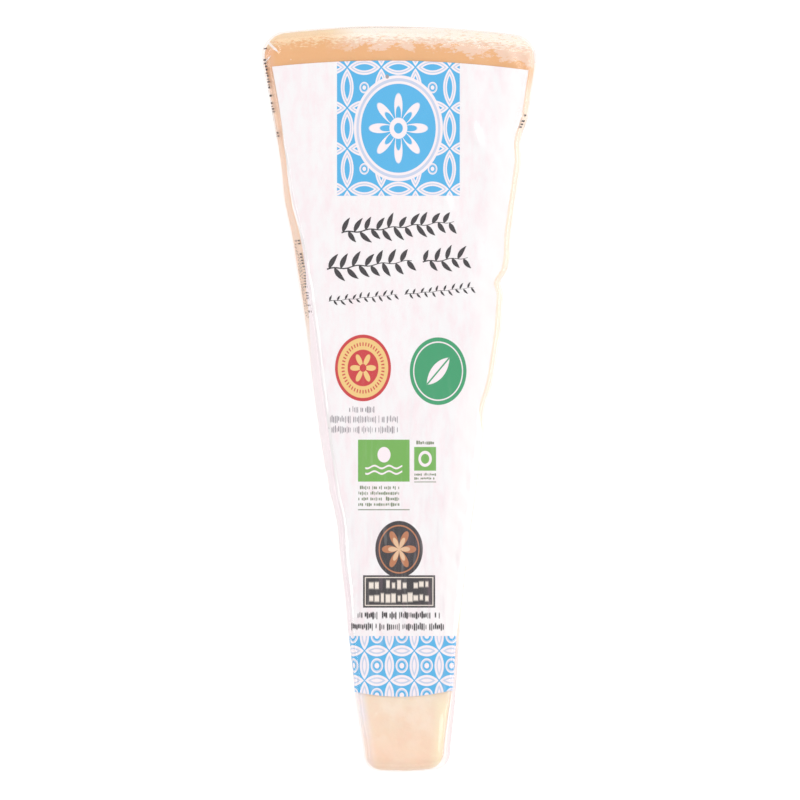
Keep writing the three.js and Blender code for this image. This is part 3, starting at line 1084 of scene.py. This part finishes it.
# %% [markdown]
# ## Cheese
# The paste is straw coloured with a touch of peach, and turns to a deeper tan in the last
# centimetre before the rind, where the wheel has dried. The rind itself is golden brown. Against
# the film at the rim lies a feathery pale bloom, where the film has lifted and frosted, and it
# reaches further down to the right. Small white crystals are scattered through the whole. Along
# the rounded rim lies a painted highlight, golden on the left and cream on the right, ragged
# where it meets the bloom. The right side is painted pale as painted light, the right of the tip
# carries a painted highlight, and the left side from halfway down is painted a pale grey-pink.

# %% Cheese colours and patterns
STRAW = "#f2dfc8"
PEACH = "#f3d8c0"
DRIED_TAN = "#e9b27b"
GOLDEN_RIND = "#d8a163"
BLOOM = "#efcfb8"
# The next two colours are the painted highlight along the rim, cream on the right and golden on the left
CREAM_RIM_HIGHLIGHT = "#fcf6ea"
GOLD_RIM_HIGHLIGHT = "#f7dfba"
# Painted light on the right side
PAINTED_LIGHT_RIGHT_SIDE = "#fbeadd"
GREY_PINK_LEFT_SIDE = "#f1e8ec"
ROSY_TAN = "#ecbb9d"
PEACH_TIP = "#f8d2b6"
# A painted highlight down the right of the tip
PAINTED_TIP_HIGHLIGHT = "#fbeecd"
CRYSTAL = "#fbefe0"
CRYSTAL_MM = 3.2
EVEN = (1, 1, 1)
# Lump size in millimetres, stretch, detail and roughness of each cloudy pattern
BLOTCH = (6, EVEN, 3.0, 0.55)
RAGGED_TAN = (4, EVEN, 3.0, 0.55)
TIP_CLOUD = (4.2, EVEN, 3.0, 0.55)
FEATHER = (1.4, (1.6, 0.8, 1.6), 8.0, 0.72)
PATCH = (4.5, EVEN, 2.0, 0.55)
FLECK = (0.5, (2.0, 0.7, 1.0), 3.0, 0.7)
STREAK = (0.7, (1.8, 0.6, 1.0), 4.0, 0.65)
RIND_CLOUD = (9, EVEN, 4.0, 0.55)
GRAIN = (1.4, EVEN, 5.0, 0.55)
FINE_GRAIN = (0.3, EVEN, 3.0, 0.55)


# %% Cheese finish
def cheese_surface(tree):
    depth, from_left, from_right = point_values(tree, "depth", "from_left", "from_right")
    in_metres = add(tree, "TexCoord").outputs["Object"]
    place = add(tree, "VectorMath", in_metres, (1 / MM, 1 / MM, 1 / MM), operation="MULTIPLY")
    x, _, z = add(tree, "SeparateXYZ", place).outputs
    crystals = add(tree, "TexVoronoi", {"Vector": place, "Scale": 1 / CRYSTAL_MM}).outputs["Distance"]
    painted = (BLOTCH, RAGGED_TAN, TIP_CLOUD, FEATHER, PATCH, FLECK, STREAK, RIND_CLOUD)
    blotch, ragged_tan, tip_cloud, feather, patch, fleck, streak, rind_cloud = noises(tree, place, *painted)
    grain, fine_grain = noises(tree, place, GRAIN, FINE_GRAIN)

    by_left = (from_left, 3.0, 1.2)
    near_tip = (depth, 100, 140)
    to_right = share_of(tree, (x, -4, 22))
    at_right = share_of(tree, (x, 20, 27))
    ragged_z = sum_of(tree, (z, 1), (patch, 12.0), (feather, 9.0))
    on_front = (ragged_z, 26.5, 30.5)
    above_side = (ragged_z, 29, 35)
    tan_reach = sum_of(tree, (depth, 1), (ragged_tan, 3.0))
    bloom_reach = sum_of(
        tree, (to_right, 0.6), (at_right, 1.6), (patch, 5.0), (feather, 7.5), (depth, -1.0), (fleck, 3.4)
    )
    # How far down the painted rim highlight reaches, ragged like the frost
    rim_highlight_reach = sum_of(tree, (feather, 1.9), (fleck, 7.6), (depth, -0.95))
    # painted highlight along the rounded rim, golden on the left and cream on the right
    rim = coats(tree, linear(GOLD_RIM_HIGHLIGHT), (CREAM_RIM_HIGHLIGHT, (x, -17, -8)))
    golden = coats(
        tree, linear(GOLDEN_RIND),
        (DRIED_TAN, (rind_cloud, 0.35, 0.7)),
        (BLOOM, (feather, 0.56, 0.74, 0.0, 0.8)),
    )
    colour = coats(
        tree, linear(STRAW),
        (PEACH, (blotch, 0.35, 0.7)),
        (PEACH, (depth, 60, 12)),
        (DRIED_TAN, (tan_reach, 15, 8.5)),
        (CRYSTAL, (crystals, 0.06, 0.03, 0.0, 0.6)),
        (ROSY_TAN, by_left, (depth, 72, 56, 0.0, 0.55)),
        # the left side is made a pale grey-pink from a depth of about 60 on
        (GREY_PINK_LEFT_SIDE, by_left, (depth, 60, 74, 0.0, 0.95)),
        (CRYSTAL, (tip_cloud, 0.42, 0.66, 0.0, 0.35), near_tip),
        (PEACH_TIP, (depth, 151, 160, 0.0, 0.5), near_tip),
        (BLOOM, (bloom_reach, 3.5, 4.1), (x, -17, -8, 0.02, 0.97), on_front),
        # the painted rim highlight laid over the front by the rim
        (rim, (rim_highlight_reach, 1.5, 3.2), (x, -17, -8, 0.75, 0.95), on_front),
        (DRIED_TAN, (streak, 0.55, 0.62, 0.0, 0.5), (depth, 5.0, 2.0), to_right, on_front),
        # painted light: the right side made pale as if flooded by light from the right
        (PAINTED_LIGHT_RIGHT_SIDE, (from_right, 2.4, 0.8, 0.0, 0.8), (depth, 10, 30, 0.35, 1.0), above_side),
        # painted highlight down the right of the tip
        (PAINTED_TIP_HIGHLIGHT, (from_right, 5.2, 2.6, 0.0, 0.6), (depth, 146, 150), above_side),
        (golden, (depth, 1.5, 0.3), (ragged_z, 30.5, 26.5)),
    )

    height = sum_of(tree, (grain, 1), (fine_grain, 0.3))
    bumps = add(tree, "Bump", {"Height": height, "Strength": 0.5, "Distance": 0.25 * MM})
    return add(tree, "BsdfPrincipled", {
        "Base Color": colour, "Roughness": 0.5, "Normal": bumps, "Subsurface Weight": 0.15,
        "Subsurface Radius": (3 * MM, 1.6 * MM, 0.9 * MM), "Subsurface Scale": 1.0,
    })


cheese.data.materials.append(material_of("aged_cows_milk_cheese", cheese_surface))

# %% [markdown]
# ## Clear film
# Shrink film is thin polyethylene, so light goes straight through without bending. Face on it
# mirrors little, and more as the eye comes down to its edge. Each layer has a faint warm tint, and
# beside the tip, where the film hangs clear of the cheese, its loose folds add a pinkish haze.

# %% Clear film finish
FILM_TINT = "#fffdfc"
HAZE_PINK = "#ead9e6"
HAZE_SHARE = 0.3
MIRROR_FACE_ON, MIRROR_EDGE_ON = 0.06, 0.12


def film_surface(tree):
    edge_on = add(tree, "LayerWeight", {"Blend": 0.5}).outputs["Facing"]
    steep = add(tree, "Math", edge_on, 5.0, operation="POWER")
    mirrored = add(tree, "Math", steep, MIRROR_EDGE_ON, MIRROR_FACE_ON, operation="MULTIPLY_ADD")
    (clear_of_cheese,) = point_values(tree, "clear_of_cheese")
    hazy = add(tree, "Math", clear_of_cheese, HAZE_SHARE, operation="MULTIPLY")
    clear = add(tree, "BsdfTransparent", {"Color": linear(FILM_TINT)})
    haze = add(tree, "BsdfDiffuse", {"Color": linear(HAZE_PINK)})
    shine = add(tree, "BsdfGlossy", {"Roughness": 0.16})
    return add(tree, "MixShader", mirrored, add(tree, "MixShader", hazy, clear, haze), shine)


film.data.materials.append(material_of("polyethylene_shrink_film", film_surface))

# %% [markdown]
# ## Pleats
# Where the film had to close round the rind's corners it was pinched into small pleats, and one
# long crease runs down the front beside the left edge. A pleat is film folded on itself, so it is
# milky and shines more than a single layer, and its milky white is made strong enough to stand as
# a painted highlight, the glint along each fold. Each is a low ridge with a broad flank and a narrow one.

# %% Pleats
# Distance in from the left side of the long crease, at some depths
CREASE = [(24, 1.5), (40, 1.9), (47, 2.4), (52, 2.85), (82, 2.75), (104, 2.05), (126, 1.45), (131, 1.4)]
CREASE_HALF, CREASE_SLOPE, CREASE_STEP = 0.28, 0.25, 0.5
# How far the crease takes to swell at its two ends
CREASE_GROWS, CREASE_FADES = 8, 5
CREASE_CLEAR = 0.01
# Start, end and half width of each pleat at a corner
CORNER_PLEATS = [
    ((-29.1, 78.3, 26.7), (-26.8, 76.1, 28.15), 0.26),
    ((-29.7, 73.6, 27.0), (-28.3, 75.2, 28.1), 0.12),
    ((29.5, 76.4, 25.0), (29.7, 73.6, 26.2), 0.5),
]
PLEAT_POINTS = 12


def pleat_rows(path, half):
    """Rows across a ridge of film along a path of [x, y, z], which is broadest in its middle."""
    along = np.gradient(path, axis=0)
    across = np.column_stack([-along[:, 1], along[:, 0]]) / np.linalg.norm(along[:, :2], axis=1)[:, None]
    rows = []
    for t, middle, side in zip(np.linspace(0, 1, len(path)), path, across):
        wide = half * min(1, math.sin(math.pi * (0.05 + 0.9 * t)) * 1.6)
        offsets = [(-wide, 0), (-wide * 0.4, wide * 0.35), (wide, 0)]
        rows.append(np.array([[*(middle[:2] + side * off), middle[2] + up, 0] for off, up in offsets]))
    return rows

# %% The long crease
def front_height(depth, x):
    """The film's height at a place on the front, and on the rounding of the left edge."""
    left_x, lean = left_side(depth)
    past_flat = max(float(left_x + lean) + LEFT_EDGE - x, 0)
    z = THICKNESS - LEFT_EDGE + math.sqrt(LEFT_EDGE ** 2 - past_flat ** 2)
    return z + film_relief(Vector((x, float(y_at(depth, x)), z)), (0, 0, 1))


def crease_rows():
    """Rows across the long crease, whose broad flank faces up and a little to the left."""
    depths, distances = zip(*CREASE)
    rows = []
    for depth in np.arange(depths[0], depths[-1], CREASE_STEP):
        x = float(left_side(depth)[0]) + np.interp(depth, depths, distances)
        x += 0.1 * noise.noise(Vector((depth / 5, 0, 0)))
        swells = min(1, (depth - depths[0]) / CREASE_GROWS, (depths[-1] - depth) / CREASE_FADES)
        wide = CREASE_HALF * (0.8 + 0.7 * noise.noise(Vector((depth / 7, 3, 0)))) * swells + 0.02
        places = [x - wide, x + wide * 0.6, x + wide]
        foot, top, far = [front_height(depth, at) + CREASE_CLEAR for at in places]
        top = max(foot + CREASE_SLOPE * 1.6 * wide, top + 0.02)
        heights = (foot, top, far)
        rows.append(np.array([[at, float(y_at(depth, at)), z, 0] for at, z in zip(places, heights)]))
    return rows

# %% Doubled film with a painted glint
def pleat_and_glint_surface(tree):
    clear = add(tree, "BsdfTransparent", {"Color": linear(FILM_TINT)})
    # the milky white is partly the doubled film and partly a painted highlight for the fold's glint
    milky = add(tree, "BsdfDiffuse", {"Color": linear("#fefafa")})
    shine = add(tree, "BsdfGlossy", {"Roughness": 0.3})
    return add(tree, "MixShader", 0.25, add(tree, "MixShader", 0.8, clear, milky), shine)


glint_pleat_film = material_of("doubled_shrink_film_painted_glint", pleat_and_glint_surface)
ridges = [crease_rows()]
ridges += [pleat_rows(np.linspace(start, end, PLEAT_POINTS), half) for start, end, half in CORNER_PLEATS]
pleats = []
for i, rows in enumerate(ridges):
    mesh = mesh_of_rows(f"pleat_{i + 1}", rows, closed=False)
    mesh.polygons.foreach_set("use_smooth", [False] * len(mesh.polygons))
    mesh.materials.append(glint_pleat_film)
    pleats.append(link(mesh.name, mesh))
print("pleat faces:", [len(pleat.data.polygons) for pleat in pleats])

# %% [markdown]
# ## Riding and replacing
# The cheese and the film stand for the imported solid, and the printed film stands for the panel.

# %% Ride
for piece in (cheese, film, panel, *sprigs, *side_prints, *pleats):
    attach(piece, "root")
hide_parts("wedge_pack")
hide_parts("printed_panel")

# %% [markdown]
# ## Light and floor
# The pack was lit in a white tent: light from all round, a stronger soft light from the right and
# from beyond the rind, and a white floor that is brighter than the pack.

# %% Lights
# Name, place, size and power of each
LIGHTS = [
    ("right_strip", (0.75, 0.1, 0.55), (0.9, 0.25), 2.8),
    ("right_low_softbox", (0.9, 0.0, 0.15), (0.9, 0.25), 0.8),
    ("far_softbox", (0.0, 0.9, 0.45), (0.9, 0.4), 1.2),
    ("near_softbox", (0.0, -0.9, 0.45), (0.9, 0.4), 0.7),
    ("left_strip", (-0.5, 0.0, 0.95), (0.9, 0.22), 1.8),
    ("left_low_softbox", (-0.9, 0.0, 0.15), (0.9, 0.25), 1.5),
    ("strip_beside_lens", (0.2, 0.05, 1.1), (0.9, 0.12), 2.0),
]
AIM = Vector((0, 0, 0.014))
TENT_GLOW = 0.58

for name, place, size, power in LIGHTS:
    data = bpy.data.lights.new(name, "AREA")
    data.shape = "RECTANGLE"
    data.size, data.size_y = size
    data.energy = power
    lamp = bpy.data.objects.new(name, data)
    lamp.location = place
    lamp.rotation_euler = (AIM - Vector(place)).to_track_quat("-Z", "Y").to_euler()
    bpy.context.scene.collection.objects.link(lamp)

world = bpy.data.worlds.new("tent")
world.use_nodes = True
world.node_tree.nodes["Background"].inputs["Color"].default_value = (1, 1, 1, 1)
world.node_tree.nodes["Background"].inputs["Strength"].default_value = TENT_GLOW
bpy.context.scene.world = world
bpy.context.scene.view_settings.view_transform = "Standard"
print("lights:", len(LIGHTS))

# %% Floor
FLOOR_HALF = 3.0


def acrylic_surface(tree):
    return add(tree, "BsdfPrincipled", {
        "Base Color": linear("#9a9a9a"), "Roughness": 0.6,
        "Emission Color": (1, 1, 1, 1), "Emission Strength": 0.76,
    })


floor_mesh = bpy.data.meshes.new("floor")
floor_corners = [(x * FLOOR_HALF, y * FLOOR_HALF, 0) for x, y in ((-1, -1), (1, -1), (1, 1), (-1, 1))]
floor_mesh.from_pydata(floor_corners, [], [(0, 1, 2, 3)])
floor_mesh.materials.append(material_of("white_acrylic_table", acrylic_surface))
floor = link("floor", floor_mesh)
